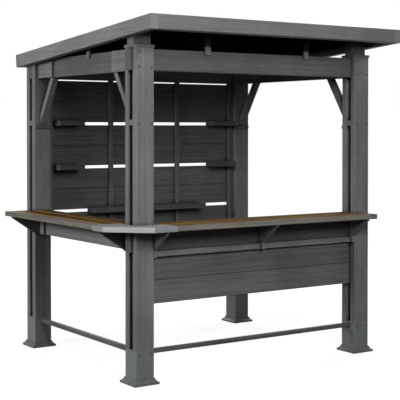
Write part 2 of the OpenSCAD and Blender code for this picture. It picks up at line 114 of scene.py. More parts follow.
class Sheet:
    """A small helper that lays out and joins the nodes of one tree."""

    STEP = 220
    SAMPLES = 4
    COLOUR_A = 6
    COLOUR_B = 7
    COLOUR_OUT = 2

    def __init__(self, tree: bpy.types.NodeTree) -> None:
        """Takes the tree to lay out."""
        self.tree = tree

    def add(self, kind: str, settings: dict | None = None, **inputs: object) -> bpy.types.Node:
        """Adds a node.

        Args:
            kind: The node's type.
            settings: Properties of the node itself.
            **inputs: Values or sockets for its inputs; underscores stand for spaces.

        Returns:
            The new node.
        """
        node = self.tree.nodes.new(kind)
        node.location = (self.STEP * len(self.tree.nodes), 0)
        for name, value in (settings or {}).items():
            setattr(node, name, value)
        for name, value in inputs.items():
            self.put(node.inputs[name.replace("_", " ")], value)
        return node

    def put(self, target: Socket, value: object) -> None:
        """Joins a socket to the target, or sets the target to a plain value.

        Args:
            target: The input to fill.
            value: The socket or the plain value.
        """
        if isinstance(value, Socket):
            self.tree.links.new(value, target)
        else:
            target.default_value = value

    def maths(self, kind: str, a: object, b: object, clamp: bool = False) -> Socket:
        """Adds a sum of two values.

        Args:
            kind: The operation.
            a: The first value or socket.
            b: The second value or socket.
            clamp: Whether the result stays between 0 and 1.

        Returns:
            The socket with the result.
        """
        node = self.add("ShaderNodeMath", {"operation": kind, "use_clamp": clamp})
        self.put(node.inputs[0], a)
        self.put(node.inputs[1], b)
        return node.outputs[0]

    def times(self, *values: object) -> Socket:
        """Multiplies two or more values or sockets."""
        return reduce(lambda a, b: self.maths("MULTIPLY", a, b), values)

    def blend(self, share: object, a: object, b: object) -> Socket:
        """Blends colour a into colour b by a share.

        Args:
            share: The share of b, as a value or a socket.
            a: The first colour, three numbers or a socket.
            b: The second colour, three numbers or a socket.

        Returns:
            The socket with the blended colour.
        """
        node = self.add("ShaderNodeMix", {"data_type": "RGBA"})
        self.put(node.inputs[0], share)
        for number, value in ((self.COLOUR_A, a), (self.COLOUR_B, b)):
            self.put(node.inputs[number], (*value, 1.0) if isinstance(value, tuple) else value)
        return node.outputs[self.COLOUR_OUT]

    def band(self, value: object, low: float, high: float, to_low: float, to_high: float) -> Socket:
        """Stretches a value from one range to another.

        Args:
            value: The value or socket to stretch.
            low: The value that gives to_low.
            high: The value that gives to_high.
            to_low: The result at low.
            to_high: The result at high.

        Returns:
            The socket with the stretched value.
        """
        node = self.add("ShaderNodeMapRange", {"interpolation_type": "SMOOTHSTEP"})
        for target, number in zip(node.inputs[:5], (value, low, high, to_low, to_high)):
            self.put(target, number)
        return node.outputs[0]

    def noise(self, place: Socket, scale: float, detail: float, rough: float) -> Socket:
        """Adds a cloudy pattern; the last three values are those of a Noise."""
        node = self.add("ShaderNodeTexNoise", Vector=place, Scale=scale, Detail=detail, Roughness=rough)
        return node.outputs[0]

    def place(self, stretch: Point = (1.0, 1.0, 1.0), tilt: float = 0.0) -> Socket:
        """Adds object coordinates.

        Args:
            stretch: The scale along each axis.
            tilt: A turn about the x axis, in radians.

        Returns:
            The socket with the coordinates.
        """
        spot = self.add("ShaderNodeTexCoord").outputs["Object"]
        turned = self.add("ShaderNodeMapping", Vector=spot, Scale=stretch, Rotation=(tilt, 0.0, 0.0))
        return turned.outputs[0]

    def height(self) -> Socket:
        """Gives the height above the floor."""
        return self.add("ShaderNodeSeparateXYZ", Vector=self.place()).outputs["Z"]

    def turn(self, radius: float) -> Socket:
        """Gives 1 on the faces, and down to about 0.7 within a radius of an edge."""
        return self.facing(self.add("ShaderNodeBevel", {"samples": self.SAMPLES}, Radius=radius).outputs[0])

    def facing(self, way: object) -> Socket:
        """Finds how far the surface faces one way.

        Args:
            way: The direction, three numbers or a socket.

        Returns:
            A socket that is 1 on faces that look that way and -1 on those that look back.
        """
        normal = self.add("ShaderNodeNewGeometry").outputs["Normal"]
        dot = self.add("ShaderNodeVectorMath", {"operation": "DOT_PRODUCT"})
        self.put(dot.inputs[0], way)
        self.put(dot.inputs[1], normal)
        return dot.outputs["Value"]

    def shelter(self, reach: float) -> Socket:
        """Finds how open the surface is, from 0 deep in a recess to 1 out on a face."""
        return self.add("ShaderNodeAmbientOcclusion", {"samples": self.SAMPLES}, Distance=reach).outputs["AO"]

    def scaled(self, colour: object, share: object) -> Socket:
        """Makes a colour lighter or darker.

        Args:
            colour: The colour, three numbers or a socket.
            share: The share of it that is left, as a value or a socket.

        Returns:
            The socket with the new colour.
        """
        node = self.add("ShaderNodeVectorMath", {"operation": "SCALE"})
        self.put(node.inputs[0], colour)
        self.put(node.inputs["Scale"], share)
        return node.outputs[0]


def new_material(name: str) -> tuple[Material, Sheet, bpy.types.Node]:
    """Starts a material.

    Args:
        name: The material's name.

    Returns:
        The material, its node sheet and its surface shader.
    """
    material = bpy.data.materials.new(name)
    material.use_nodes = True
    return material, Sheet(material.node_tree), material.node_tree.nodes["Principled BSDF"]


@dataclass(frozen=True)
class Sawing:
    """How sawn timber looks, whatever its stain. A tone is a share of the stain's colour.

    Attributes:
        figure_stretch, fibre_stretch: The scale along the board of the grain's lines and its fibres.
        figure: The finer layers of the grain's lines, and how strong they are.
        fibres: The noise of the single fibres.
        fibre_share: The share of the fibres in the relief; the lines have the rest.
        middle: The relief at which light and dark meet.
        blur, sharpening: How far light and dark mix, and how much less on the sharpest stain.
        clouds, cloud_tone: The larger light and dark areas.
        saw_marks, saw_tone: The saw marks.
        edge, edge_tone: How far in from an edge the timber changes, in metres, and its tone there.
        edge_rub, figure_rub: How much an edge is rubbed, and how much of that each line takes.
        recess, painted_recess_shade: Painted shade in recesses: how far apart two surfaces still darken each
            other, in metres, and the tone there.
        painted_top_fade, top_light_fibres: Painted light on faces that look up: how much lighter they are,
            and each fibre's part in that.
        painted_light_fade: How much lighter the face with painted light is, by how far it looks that way.
        painted_shadow_half, painted_shadow_tone: Painted shadow of the roof: half the height over which it
            darkens the stain, and the tone.
        dull, smooth: How much rougher the hollows and how much smoother the raised fibres are.
        bump: The strength of the relief.
    """

    figure_stretch: float = 0.012
    fibre_stretch: float = 0.03
    figure: tuple[float, float] = (2.0, 0.5)
    fibres: Noise = (260.0, 4.0, 0.65)
    fibre_share: float = 0.45
    middle: float = 0.5
    blur: float = 0.2
    sharpening: float = 0.14
    clouds: Noise = (2.6, 3.0, 0.55)
    cloud_tone: Ramp = (0.3, 0.7, 0.88, 1.1)
    saw_marks: Noise = (150.0, 2.0, 0.7)
    saw_tone: Ramp = (0.3, 0.7, 0.93, 1.06)
    edge: float = 0.005
    edge_tone: Ramp = (0.78, 0.99, 0.72, 1.0)
    edge_rub: Ramp = (0.71, 0.8, 0.7, 0.0)
    figure_rub: Ramp = (0.5, 0.62, 0.0, 1.0)
    recess: float = 0.05
    painted_recess_shade: Ramp = (0.25, 0.85, 0.15, 1.0)
    painted_top_fade: Ramp = (0.4, 0.9, 0.0, 1.0)
    top_light_fibres: Ramp = (0.3, 0.7, 0.7, 1.0)
    painted_light_fade: Ramp = (0.95, 0.99, 0.0, 0.75)
    painted_shadow_half: float = 0.006
    painted_shadow_tone: float = 0.1
    dull: float = 0.1
    smooth: float = 0.08
    bump: float = 0.55


@dataclass(frozen=True)
class Spray:
    """How a sprayed coat looks, whatever its colour. A tone is a share of that colour.

    Attributes:
        mottles, mottle_tone: The larger light and dark spots.
        pimples: The noise of the fine pimples of the coat.
        dust_share, dust_mottle: The share of dust at the floor, and how much of it each spot takes.
        edge: How far in from an edge the coat is rubbed, in metres.
        edge_rub, mottle_rub: How much an edge is rubbed, and how much of that each spot takes.
        smooth, dull: How much smoother the dark spots and how much rougher the light spots are.
        gloss: The level of the mirror-like share of the light.
        bump, relief: The strength of the pimples, and their height in metres.
    """

    mottles: Noise = (22.0, 4.0, 0.55)
    mottle_tone: Ramp = (0.3, 0.7, 0.9, 1.08)
    pimples: Noise = (420.0, 2.0, 0.55)
    dust_share: float = 0.45
    dust_mottle: Ramp = (0.35, 0.65, 0.4, 1.0)
    edge: float = 0.003
    edge_rub: Ramp = (0.74, 0.95, 0.5, 0.0)
    mottle_rub: Ramp = (0.4, 0.6, 0.3, 1.0)
    smooth: float = 0.06
    dull: float = 0.08
    gloss: float = 0.25
    bump: float = 0.2
    relief: float = 0.0003


SAWN = Sawing()
SPRAYED = Spray()


@dataclass(frozen=True)
class StainedWood:
    """Sawn timber under a thin stain, so the grain and the wear still show.

    Attributes:
        name: The finish's name.
        deep: The colour in the hollows of the grain.
        raised: The colour on the raised fibres.
        worn: The colour where the edges are rubbed.
        roughness: The middle roughness of the surface.
        line: The usual distance between two lines of the grain, in metres.
        relief: The height of the grain, in metres.
        sharp: How sharply light and dark fibres part, from 0 to 1.
        gloss: The level of the mirror-like share of the light.
        painted_top_light: The colour of faces that look up, painted lighter than the shaded faces below.
        painted_shadow_above: The height above which a painted shadow of the roof darkens the stain; 0 leaves
            it out.
        painted_light_face: The way a face looks that carries painted light, so that it is lighter.
    """

    name: str
    deep: Colour
    raised: Colour
    worn: Colour
    roughness: float = 0.66
    line: float = 0.01
    relief: float = 0.0006
    sharp: float = 0.35
    gloss: float = 0.1
    painted_top_light: Colour | None = None
    painted_shadow_above: float = 0.0
    painted_light_face: Point | None = None

    def pattern(self, sheet: Sheet, grain: Grain) -> tuple[Socket, Socket]:
        """Draws the grain.

        Args:
            sheet: The material's nodes.
            grain: The way the fibres run.

        Returns:
            The sockets with the grain's lines and with the single fibres.
        """
        axis, tilt = grain.value
        long, short = [
            sheet.place(tuple(stretch if i == axis else 1.0 for i in range(3)), tilt)
            for stretch in (SAWN.figure_stretch, SAWN.fibre_stretch)
        ]
        return sheet.noise(long, 1.0 / self.line, *SAWN.figure), sheet.noise(short, *SAWN.fibres)

    def tint(self, sheet: Sheet, lift: Socket) -> Socket:
        """Colours the timber, before any shading.

        Args:
            sheet: The material's nodes.
            lift: The socket with the relief.

        Returns:
            The socket with the colour.
        """
        blur = SAWN.blur - SAWN.sharpening * self.sharp
        raised = sheet.band(lift, SAWN.middle - blur, SAWN.middle + blur, 0.0, 1.0)
        tint = sheet.blend(raised, self.deep, self.raised)
        # Painted light: faces that look up are lighter than the shaded faces below them.
        if self.painted_top_light:
            upward = sheet.band(sheet.facing(UPWARD), *SAWN.painted_top_fade)
            fade = sheet.times(upward, sheet.band(lift, *SAWN.top_light_fibres))
            tint = sheet.blend(fade, tint, self.painted_top_light)
        # Painted light: the face that looks one given way is lightened towards the worn colour.
        if self.painted_light_face:
            fade = sheet.band(sheet.facing(self.painted_light_face), *SAWN.painted_light_fade)
            tint = sheet.blend(fade, tint, self.worn)
        return tint

    def shade(self, sheet: Sheet, edge: Socket, boards: bool) -> Socket:
        """Finds how light or dark the timber is from place to place, painted shade included.

        Args:
            sheet: The material's nodes.
            edge: The socket that falls near an edge.
            boards: Whether each board carries a tone of its own.

        Returns:
            The socket with the share of the colour that is left.
        """
        tones = [
            sheet.band(sheet.noise(sheet.place(), *SAWN.clouds), *SAWN.cloud_tone),
            sheet.band(sheet.noise(sheet.place(), *SAWN.saw_marks), *SAWN.saw_tone),
        ]
        # Painted shadow: the timber is darkened above a height, where the roof shades it.
        if self.painted_shadow_above > 0.0:
            low, high = self.painted_shadow_above - SAWN.painted_shadow_half, self.painted_shadow_above + SAWN.painted_shadow_half
            tones.append(sheet.band(sheet.height(), low, high, 1.0, SAWN.painted_shadow_tone))
        if boards:
            tones.append(sheet.add("ShaderNodeAttribute", {"attribute_name": "tone"}).outputs["Fac"])
        tones.append(sheet.band(edge, *SAWN.edge_tone))
        # Painted shade: recesses and narrow gaps are darkened by how closed in they are.
        tones.append(sheet.band(sheet.shelter(SAWN.recess), *SAWN.painted_recess_shade))
        return sheet.times(*tones)

    def material(self, grain: Grain, boards: bool = False) -> Material:
        """Makes the finish for timber that runs one way.

        Args:
            grain: The way the fibres run.
            boards: Whether each board carries a tone of its own.

        Returns:
            The material.
        """
        ending = "_boards" if boards else ""
        material, sheet, surface = new_material(f"{self.name}_{grain.name.lower()}{ending}")
        figure, fibres = self.pattern(sheet, grain)
        fine = sheet.times(fibres, SAWN.fibre_share)
        lift = sheet.maths("ADD", fine, sheet.times(figure, 1.0 - SAWN.fibre_share))
        edge = sheet.turn(SAWN.edge)
        stained = sheet.scaled(self.tint(sheet, lift), self.shade(sheet, edge, boards))
        rub = sheet.times(sheet.band(edge, *SAWN.edge_rub), sheet.band(figure, *SAWN.figure_rub))
        sheet.put(surface.inputs["Base Color"], sheet.blend(rub, stained, self.worn))
        hollow, raised = self.roughness + SAWN.dull, self.roughness - SAWN.smooth
        sheet.put(surface.inputs["Roughness"], sheet.band(fibres, *NOISE_RANGE, hollow, raised))
        surface.inputs["Specular IOR Level"].default_value = self.gloss
        bump = sheet.add("ShaderNodeBump", Strength=SAWN.bump, Distance=self.relief, Height=lift)
        sheet.put(surface.inputs["Normal"], bump.outputs[0])
        return material


@dataclass(frozen=True)
class CoatedMetal:
    """A smooth coat on metal, a little mottled, rubbed at the edges and dusty low down.

    Attributes:
        name: The finish's name.
        coat: The colour of the coat.
        rubbed: The colour along rubbed edges.
        dust: The colour of the dust near the ground.
        roughness: The middle roughness of the coat.
        dust_top: The height below which dust shows, in metres; 0 leaves it out.
    """

    name: str
    coat: Colour
    rubbed: Colour
    dust: Colour
    roughness: float = 0.55
    dust_top: float = 0.0

    def material(self) -> Material:
        """Makes the finish.

        Returns:
            The material.
        """
        material, sheet, surface = new_material(self.name)
        mottle = sheet.noise(sheet.place(), *SPRAYED.mottles)
        pimples = sheet.noise(sheet.place(), *SPRAYED.pimples)
        tint = sheet.scaled(self.coat, sheet.band(mottle, *SPRAYED.mottle_tone))
        if self.dust_top > 0.0:
            low = sheet.band(sheet.height(), 0.0, self.dust_top, SPRAYED.dust_share, 0.0)
            tint = sheet.blend(sheet.times(low, sheet.band(mottle, *SPRAYED.dust_mottle)), tint, self.dust)
        edge = sheet.band(sheet.turn(SPRAYED.edge), *SPRAYED.edge_rub)
        rub = sheet.times(edge, sheet.band(mottle, *SPRAYED.mottle_rub))
        sheet.put(surface.inputs["Base Color"], sheet.blend(rub, tint, self.rubbed))
        dark, light = self.roughness - SPRAYED.smooth, self.roughness + SPRAYED.dull
        sheet.put(surface.inputs["Roughness"], sheet.band(mottle, *NOISE_RANGE, dark, light))
        surface.inputs["Specular IOR Level"].default_value = SPRAYED.gloss
        bump = sheet.add("ShaderNodeBump", Strength=SPRAYED.bump, Distance=SPRAYED.relief, Height=pimples)
        sheet.put(surface.inputs["Normal"], bump.outputs[0])
        return material


def grey(level: float, cool: float = 0.0) -> Colour:
    """Gives a grey that gains a little from red to green and from green to blue."""
    return (level, level + cool, level + 2 * cool)


COOL = 0.001
POST_STAIN = StainedWood("post_stain", grey(0.118, COOL), grey(0.18, COOL), grey(0.25))
# A darker copy of the post stain: painted shade on the rear right post.
SHADED_POST_STAIN = StainedWood("shaded_post_stain", grey(0.099, COOL), grey(0.152, COOL), grey(0.23))
# The struts carry a painted shadow of the roof on their upper parts.
SHADOWED_STRUT_STAIN = StainedWood(
    "strut_stain", grey(0.118, COOL), grey(0.18, COOL), grey(0.2), gloss=0.02, painted_shadow_above=2.186
)
# A darker copy of the post stain: painted shade on the beams, rails, stiles and battens.
SHADED_BEAM_STAIN = StainedWood("beam_stain", grey(0.073, COOL), grey(0.11, COOL), grey(0.18), 0.68)
# A darker copy of the post stain: painted shade on the skirt under the bar.
SHADED_SKIRT_STAIN = StainedWood("skirt_stain", grey(0.081, COOL), grey(0.122, COOL), grey(0.19), 0.68)
# A darker copy of the post stain: painted shade on the rear wall, the front apron, the brace seats and the
# left bar brackets.
SHADED_WALL_STAIN = StainedWood("wall_stain", grey(0.06, COOL), grey(0.104, COOL), grey(0.15), 0.7)
# A still darker copy: painted shade on the shelves inside.
SHADED_SHELF_STAIN = StainedWood("shelf_stain", grey(0.042, COOL), grey(0.074, COOL), grey(0.13), 0.7)
# Nearly black: painted shade in the slots of the posts, where the cores sit.
SHADED_CORE_STAIN = StainedWood("core_stain", grey(0.006), grey(0.012), grey(0.02), 0.8, gloss=0.0)
# Nearly black: painted shade of the roof's underside and rafters; faces that look up are painted lighter.
SHADED_DECK_STAIN = StainedWood(
    "deck_stain",
    (0.01, 0.01, 0.0105),
    (0.02, 0.02, 0.021),
    grey(0.06),
    0.8,
    gloss=0.0,
    painted_top_light=(0.11, 0.112, 0.115),
)
FRONT_STAIN = StainedWood(
    "front_fascia_stain", (0.118, 0.12, 0.124), (0.162, 0.165, 0.17), (0.26, 0.265, 0.27), 0.62
)
# A lighter copy of the fascia stain: painted light on the side fascias.
LIT_SIDE_STAIN = StainedWood(
    "side_fascia_stain", (0.15, 0.156, 0.161), (0.2, 0.207, 0.213), (0.28, 0.285, 0.29), 0.62
)
EDGE_STAIN = StainedWood(
    "edge_stain", (0.132, 0.119, 0.104), (0.236, 0.217, 0.193), (0.3, 0.285, 0.265), 0.7, gloss=0.03
)
SIDE_EDGE_STAIN = StainedWood(
    "side_edge_stain", (0.108, 0.098, 0.086), (0.196, 0.181, 0.162), (0.28, 0.265, 0.245), 0.7, gloss=0.02
)
# The clipped face of the corner carries painted light.
CORNER_STAIN = StainedWood(
    "corner_stain", (0.212, 0.215, 0.219), (0.284, 0.288, 0.293), grey(0.42), 0.5, painted_light_face=CLIPPED_FACE
)
BAR_OIL = StainedWood(
    "oiled_boards",
    (0.034, 0.0165, 0.0045),
    (0.268, 0.165, 0.066),
    (0.3, 0.2, 0.1),
    0.75,
    line=0.05,
    relief=0.0008,
    sharp=0.8,
    gloss=0.01,
)
FOOT_COAT = CoatedMetal(
    "foot_coat", (0.132, 0.14, 0.145), (0.2, 0.21, 0.215), (0.15, 0.148, 0.142), dust_top=0.05
)
TRIM_COAT = CoatedMetal(
    "trim_coat", (0.09, 0.096, 0.1), (0.16, 0.168, 0.172), (0.12, 0.118, 0.112), dust_top=0.05
)
CAP_COAT = CoatedMetal("cap_coat", (0.09, 0.095, 0.099), (0.18, 0.188, 0.192), grey(0.14))
BOLT_COAT = CoatedMetal("bolt_coat", (0.075, 0.077, 0.08), (0.13, 0.13, 0.135), grey(0.08), 0.5)


class Model:
    """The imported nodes, and the calls that dress them and take in new pieces."""

    def __init__(self) -> None:
        """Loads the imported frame."""
        self.nodes: dict[str, Piece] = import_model()["nodes"]

    def stain(self, slot: Slot, wood: StainedWood, grain: Grain, *names: str) -> None:
        """Stains nodes that run one way."""
        self.fit(wood.material(grain), names)

    def coat(self, coat: CoatedMetal, *names: str) -> None:
        """Coats nodes made of metal."""
        self.fit(coat.material(), names)

    def fit(self, material: Material, names: tuple[str, ...]) -> None:
        """Gives nodes a material.

        Args:
            material: The material.
            names: The nodes.
        """
        for name in names:
            self.nodes[name].data.materials.clear()
            self.nodes[name].data.materials.append(material)
            log.info("dressed %s", name)

    def take(self, piece: Piece, slot: Slot, *stood_for: str) -> None:
        """Takes in a new piece.

        Args:
            piece: The piece, in place.
            slot: The record's material slot; not used.
            *stood_for: The nodes that it stands for.
        """
        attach(piece, "root")
        if stood_for:
            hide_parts(*stood_for)
        log.info("built %s", piece.name)


class NodeTree:
    """A Geometry Nodes tree with named inputs, run once and kept as a plain mesh."""

    def __init__(self, name: str) -> None:
        """Starts a tree that takes in a geometry and gives one back.

        Args:
            name: The tree's name.
        """
        self.tree = bpy.data.node_groups.new(name, "GeometryNodeTree")
        self.sheet = Sheet(self.tree)
        self.keys: dict[str, str] = {}
        self.socket("Geometry", "NodeSocketGeometry")
        self.tree.interface.new_socket("Geometry", in_out="OUTPUT", socket_type="NodeSocketGeometry")
        self.start = self.tree.nodes.new("NodeGroupInput")
        self.end = self.tree.nodes.new("NodeGroupOutput")

    def socket(self, name: str, kind: str) -> None:
        """Adds a named input."""
        self.keys[name] = self.tree.interface.new_socket(name, in_out="INPUT", socket_type=kind).identifier

    def run(self, name: str, base: bpy.types.Mesh, values: dict[str, object]) -> Piece:
        """Runs the tree on a mesh.

        Args:
            name: The name of the piece that comes out.
            base: The mesh that goes in.
            values: The named inputs.

        Returns:
            The piece, as a plain mesh at the origin.
        """
        holder = bpy.data.objects.new(f"{name}_base", base)
        bpy.context.scene.collection.objects.link(holder)
        modifier = holder.modifiers.new(name, "NODES")
        modifier.node_group = self.tree
        for key, value in values.items():
            modifier[self.keys[key]] = value
        graph = bpy.context.evaluated_depsgraph_get()
        mesh = bpy.data.meshes.new_from_object(holder.evaluated_get(graph), depsgraph=graph)
        mesh.name = name
        holder.modifiers.remove(modifier)
        bpy.data.objects.remove(holder)
        piece = bpy.data.objects.new(name, mesh)
        bpy.context.scene.collection.objects.link(piece)
        return piece


def spread_tree() -> NodeTree:
    """Makes the tree that sets one shape on every point of a mesh.

    Returns:
        The tree. Its points carry a facing, and its inputs are the shape, the
        material, a seed and how much the tone of the copies differs.
    """
    made = NodeTree("spread")
    for name, kind in (
        ("Shape", "NodeSocketObject"),
        ("Material", "NodeSocketMaterial"),
        ("Seed", "NodeSocketInt"),
        ("Tone", "NodeSocketFloat"),
    ):
        made.socket(name, kind)
    sheet, start = made.sheet, made.start
    shape = sheet.add("GeometryNodeObjectInfo", Object=start.outputs["Shape"])
    facing = sheet.add("GeometryNodeInputNamedAttribute", {"data_type": "FLOAT_VECTOR"}, Name="facing")
    turn = sheet.add("FunctionNodeAlignRotationToVector", {"axis": "Z"}, Vector=facing.outputs[0])
    copies = sheet.add(
        "GeometryNodeInstanceOnPoints",
        Points=start.outputs["Geometry"],
        Instance=shape.outputs["Geometry"],
        Rotation=turn.outputs[0],
    )
    low = sheet.maths("SUBTRACT", 1.0, start.outputs["Tone"])
    high = sheet.maths("ADD", 1.0, start.outputs["Tone"])
    tone = sheet.add("FunctionNodeRandomValue", {"data_type": "FLOAT"})
    sheet.put(tone.inputs[2], low)
    sheet.put(tone.inputs[3], high)
    sheet.put(tone.inputs["Seed"], start.outputs["Seed"])
    marked = sheet.add(
        "GeometryNodeStoreNamedAttribute",
        {"data_type": "FLOAT", "domain": "INSTANCE"},
        Geometry=copies.outputs[0],
        Name="tone",
        Value=tone.outputs[1],
    )
    real = sheet.add("GeometryNodeRealizeInstances", Geometry=marked.outputs[0])
    done = sheet.add("GeometryNodeSetMaterial", Geometry=real.outputs[0], Material=start.outputs["Material"])
    sheet.put(made.end.inputs[0], done.outputs[0])
    return made


def marks_mesh(name: str, marks: list[Mark]) -> bpy.types.Mesh:
    """Makes a mesh of loose points, each with the way it faces.

    Args:
        name: The mesh's name.
        marks: Each point's place and facing.

    Returns:
        The mesh.
    """
    mesh = bpy.data.meshes.new(name)
    mesh.from_pydata([place for place, _ in marks], [], [])
    facing = mesh.attributes.new("facing", "FLOAT_VECTOR", "POINT")
    for slot, (_, way) in zip(facing.data, marks):
        slot.vector = way
    return mesh


def join(name: str, parts: list[Piece]) -> Piece:
    """Joins several plain pieces into one.

    Args:
        name: The name of the joined piece.
        parts: The pieces, which are used up.

    Returns:
        The joined piece.
    """
    if len(parts) > 1:
        with bpy.context.temp_override(active_object=parts[0], selected_editable_objects=parts):
            bpy.ops.object.join()
    parts[0].name = name
    parts[0].data.name = name
    return parts[0]


@dataclass(frozen=True)
class Fixings:
    """A set of like bolts or screws, each a domed head on a washer.

    Attributes:
        name: The name of the set.
        kind: The name of one of them.
        radius: The washer's radius.
        proud: The height of the dome above the timber.
        seed: The seed of the set.
        sides: The number of sides of a head.
        rings: The rings of a head from the washer up, as shares of the radius and of the height.
    """

    name: str
    kind: str
    radius: float
    proud: float
    seed: int
    sides: int = 10
    rings: tuple[tuple[float, float], ...] = (
        (1.0, -0.3),
        (1.0, 0.3),
        (0.74, 0.34),
        (0.66, 0.72),
        (0.36, 0.96),
    )

    def head(self) -> Piece:
        """Makes one head, standing on the origin along +Z.

        Returns:
            The head, out of sight until it is copied.
        """
        sides, last = self.sides, len(self.rings) - 1
        points: list[Point] = []
        for share, height in self.rings:
            reach = self.radius * share
            for i in range(sides):
                angle = 2 * math.pi * i / sides
                points.append((reach * math.cos(angle), reach * math.sin(angle), self.proud * height))
        faces: list[tuple[int, ...]] = []
        for start in range(0, last * sides, sides):
            for i in range(sides):
                after = (i + 1) % sides
                faces.append((start + i, start + after, start + sides + after, start + sides + i))
        faces.append(tuple(range(last * sides, (last + 1) * sides)))
        faces.append(tuple(reversed(range(sides))))
        mesh = bpy.data.meshes.new(f"{self.kind}_shape")
        mesh.from_pydata(points, [], faces)
        return bpy.data.objects.new(mesh.name, mesh)

    def build(self, model: Model, spread: NodeTree, marks: list[Mark]) -> None:
        """Builds the whole set.

        Args:
            model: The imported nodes.
            spread: The tree that sets a shape on every point.
            marks: Where each one sits and which way it faces.
        """
        base = marks_mesh(f"{self.kind}_marks", marks)
        values = {"Shape": self.head(), "Material": BOLT_COAT.material(), "Seed": self.seed, "Tone": 0.0}
        model.take(spread.run(self.name, base, values), Slot.FOOT)


@dataclass(frozen=True)
class BoardPanel:
    """Level lapped boards that stand for one plain panel of the frame, band by band.

    Attributes:
        node: The panel.
        name: The name of the row of boards.
        slot: The record's material slot.
        wood: The stain.
        seed: The seed for the boards' tones.
        board_h: The usual height of a board.
        joint: The width of the open joint between two boards.
        lap: How far a board reaches up behind the next one.
        lip: How far the lowest board of each upper band hangs below it.
        crest: How far the highest board of the last band stands above it.
        ease: The width of the eased edges.
        play: The space between two lapped faces.
        tone: How much the boards' tones differ.
    """

    node: str
    name: str
    slot: Slot
    wood: StainedWood
    seed: int
    board_h: float = 0.153
    joint: float = 0.0024
    lap: float = 0.008
    lip: float = 0.0
    crest: float = 0.0
    ease: float = 0.0012
    play: float = 0.0005
    tone: float = 0.12

    def bands(self, panel: Piece) -> list[tuple[Vector, Vector]]:
        """Finds the bands of the panel, each a solid of its own.

        Args:
            panel: The panel.

        Returns:
            The low and high corners of each band, from the lowest up.
        """
        form = bmesh.new()
        form.from_mesh(panel.data)
        bmesh.ops.remove_doubles(form, verts=form.verts, dist=SAME_POINT)
        found, left = [], set(form.verts)
        while left:
            island, queue = set(), [left.pop()]
            while queue:
                vert = queue.pop()
                island.add(vert)
                for edge in vert.link_edges:
                    other = edge.other_vert(vert)
                    if other in left:
                        left.discard(other)
                        queue.append(other)
            low = Vector([min(v.co[i] for v in island) for i in range(3)])
            high = Vector([max(v.co[i] for v in island) for i in range(3)])
            found.append((low, high))
        form.free()
        return sorted(found, key=lambda pair: pair[0].z)

    def board(self, size: Point, below: float, above: float, first: bool, last: bool) -> Piece:
        """Makes one lapped board, the line of its lower joint at the origin.

        Args:
            size: The board's length, thickness and height.
            below: How far it hangs below its place.
            above: How far it stands above its place.
            first: Whether it is the lowest of its band.
            last: Whether it is the highest of its band.

        Returns:
            The board, out of sight until it is copied.
        """
        long, thick, high = size
        half, gap, back = thick / 2, self.joint / 2, self.play
        foot = [(-half, -below), (half, -below)]
        if not first:
            foot = [(-half, gap), (0.0, gap), (0.0, self.lap + gap), (half, self.lap + gap)]
        head = [(half, high + above), (-half, high + above)]
        if not last:
            head = [(half, high + self.lap), (back, high + self.lap), (back, high - gap), (-half, high - gap)]
        form = bmesh.new()
        end = form.faces.new([form.verts.new((-long / 2, y, z)) for y, z in foot + head])
        grown = bmesh.ops.extrude_face_region(form, geom=[end])["geom"]
        moved = [item for item in grown if isinstance(item, bmesh.types.BMVert)]
        bmesh.ops.translate(form, verts=moved, vec=(long, 0.0, 0.0))
        bmesh.ops.recalc_face_normals(form, faces=form.faces[:])
        bmesh.ops.bevel(form, geom=form.edges[:], offset=self.ease, segments=1, affect="EDGES")
        mesh = bpy.data.meshes.new(f"{self.name}_shape")
        form.to_mesh(mesh)
        form.free()
        return bpy.data.objects.new(mesh.name, mesh)

    def rows(self, panel: Piece) -> dict[BoardForm, list[Mark]]:
        """Lays the boards out, band by band.

        Args:
            panel: The panel.

        Returns:
            The marks of the boards, by what the board method needs to make them.
        """
        bands = self.bands(panel)
        laid: dict[BoardForm, list[Mark]] = {}
        for low, high in bands:
            middle, size = (low + high) / 2, high - low
            count = max(1, round(size.z / self.board_h))
            form = tuple(round(value, SIZE_DIGITS) for value in (size.x, size.y, size.z / count))
            for i in range(count):
                first, last = i == 0, i == count - 1
                below = self.lip if first and low is not bands[0][0] else 0.0
                above = self.crest if last and high is bands[-1][1] else 0.0
                spot = (middle.x, middle.y, low.z + form[2] * i)
                laid.setdefault((form, below, above, first, last), []).append((spot, UPWARD))
        return laid

    def build(self, model: Model, spread: NodeTree) -> None:
        """Builds the boards and puts them in the panel's place.

        Args:
            model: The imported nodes.
            spread: The tree that sets a shape on every point.
        """
        rows = self.rows(model.nodes[self.node])
        values = {"Material": self.wood.material(Grain.ACROSS, boards=True), "Tone": self.tone}
        parts = []
        for number, (key, marks) in enumerate(rows.items()):
            base = marks_mesh(f"{self.name}_marks", marks)
            values.update({"Shape": self.board(*key), "Seed": self.seed + number})
            parts.append(spread.run(f"{self.name}_{number + 1}", base, values))
        model.take(join(self.name, parts), self.slot, self.node)


class SubAssembly:
    """One part of the gazebo: it dresses its nodes, and may build pieces of its own."""

    def dress(self, model: Model) -> None:
        """Gives each node of the sub-assembly its finish."""

    def build(self, model: Model, spread: NodeTree) -> None:
        """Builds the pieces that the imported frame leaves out."""


